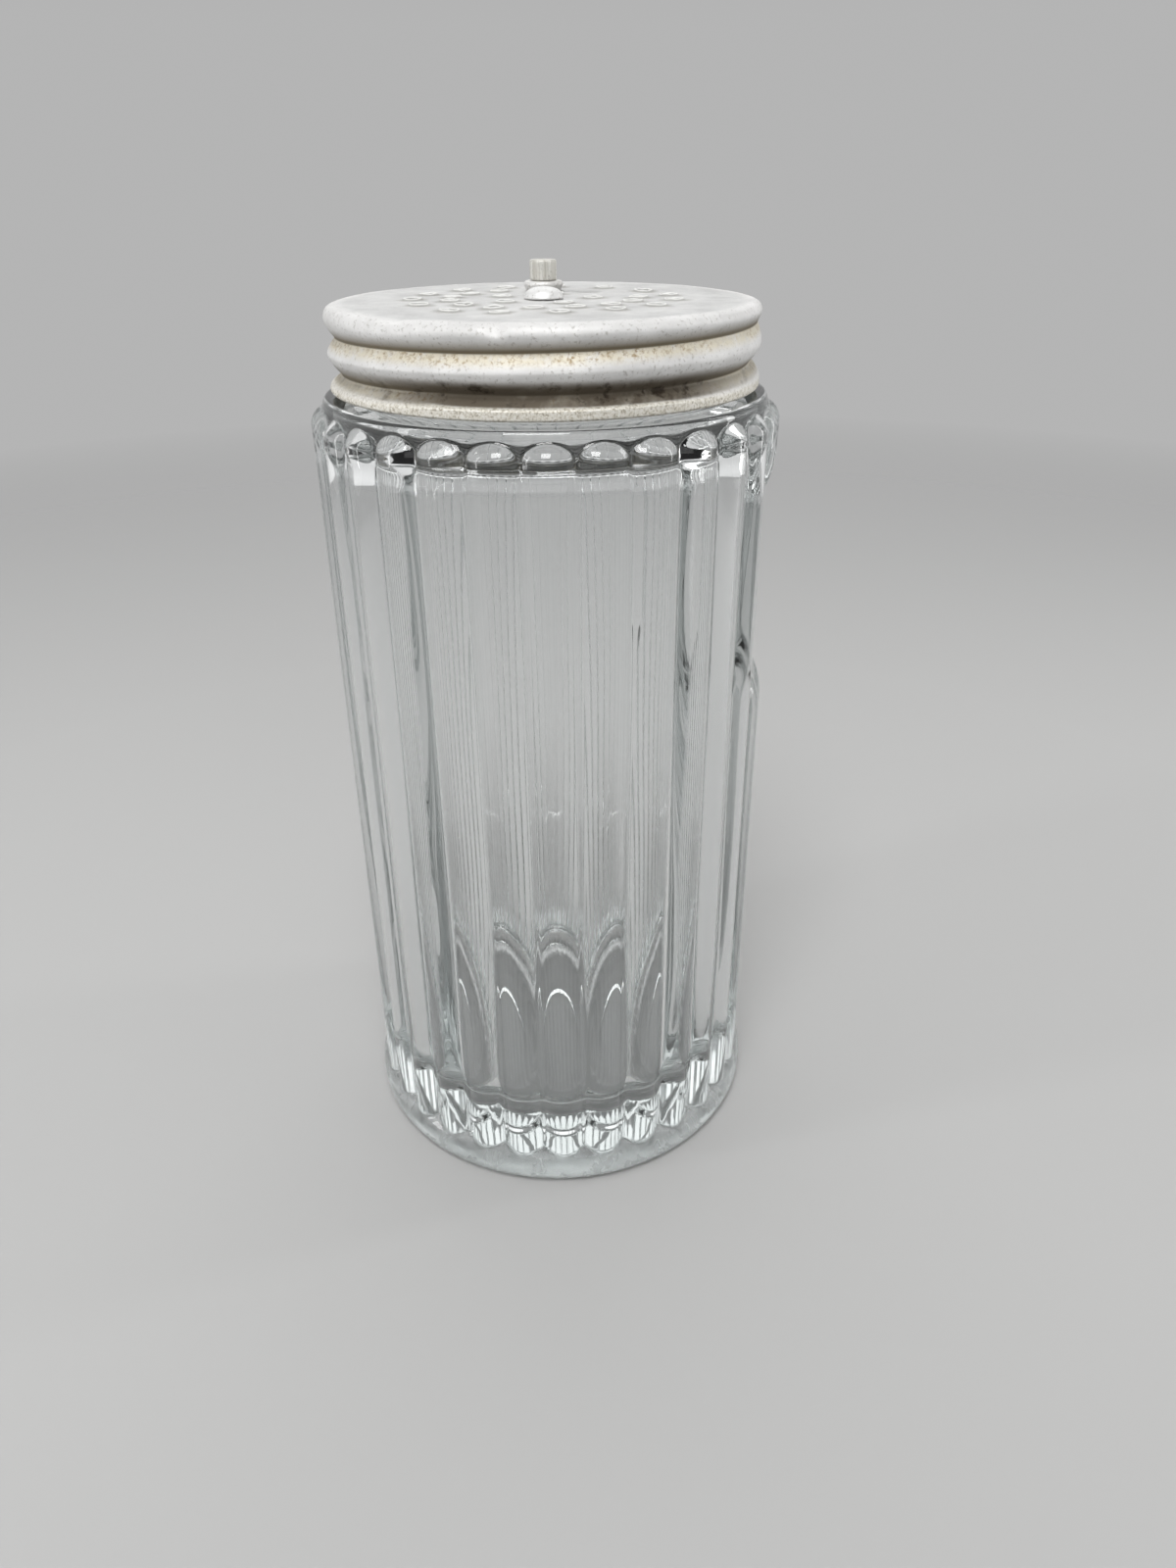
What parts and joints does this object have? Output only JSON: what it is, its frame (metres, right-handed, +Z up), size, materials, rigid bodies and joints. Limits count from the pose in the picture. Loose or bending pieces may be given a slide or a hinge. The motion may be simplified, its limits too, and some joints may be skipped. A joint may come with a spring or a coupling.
{
  "type": "sugar shaker",
  "caption": "Ribbed clear glass sugar shaker with a plain label panel, an aluminium screw lid with pouring holes and a shutter under it that a small knob turns.",
  "frame": {"origin": "middle of the flat base, on the surface that the shaker stands on", "axes": "+Z up along the axis of the jar and the screw lid; the knob stands on the +Y side at rest, and the label panel faces +X"},
  "size_m": [0.0818, 0.0818, 0.167],
  "materials": {
    "clear_glass": "clear pressed glass, fire polished",
    "dull_aluminium": "dull, aged, with grime in the grooves",
    "bright_aluminium": "satin",
    "washer_steel": "plain"
  },
  "bodies": {
    "jar": {"glass_jar": "clear_glass"},
    "rivet": {"pivot_rivet": "bright_aluminium", "friction_washer": "washer_steel"},
    "lid": {"lid_shell": "dull_aluminium"},
    "shutter": {"shutter_disc": "bright_aluminium", "knob_post": "bright_aluminium", "knob_collar": "dull_aluminium"}
  },
  "joints": [
    {"name": "lid_rise", "type": "slide", "parent": "jar", "child": "rivet", "axis": [0, 0, 1], "range_m": [0, 0.01425]},
    {"name": "lid_turn", "type": "hinge", "parent": "rivet", "child": "lid", "pos_m": [0, 0, 0.1615], "axis": [0, 0, 1], "range_deg": [0, 900]},
    {"name": "shutter_swing", "type": "hinge", "parent": "lid", "child": "shutter", "pos_m": [0, 0, 0.1607], "axis": [0, 0, 1], "range_deg": [-36, 0]}
  ],
  "couplings": [
    {"joint": "lid_turn", "follows": "lid_rise", "rad_per_m": 1102.3}
  ]
}
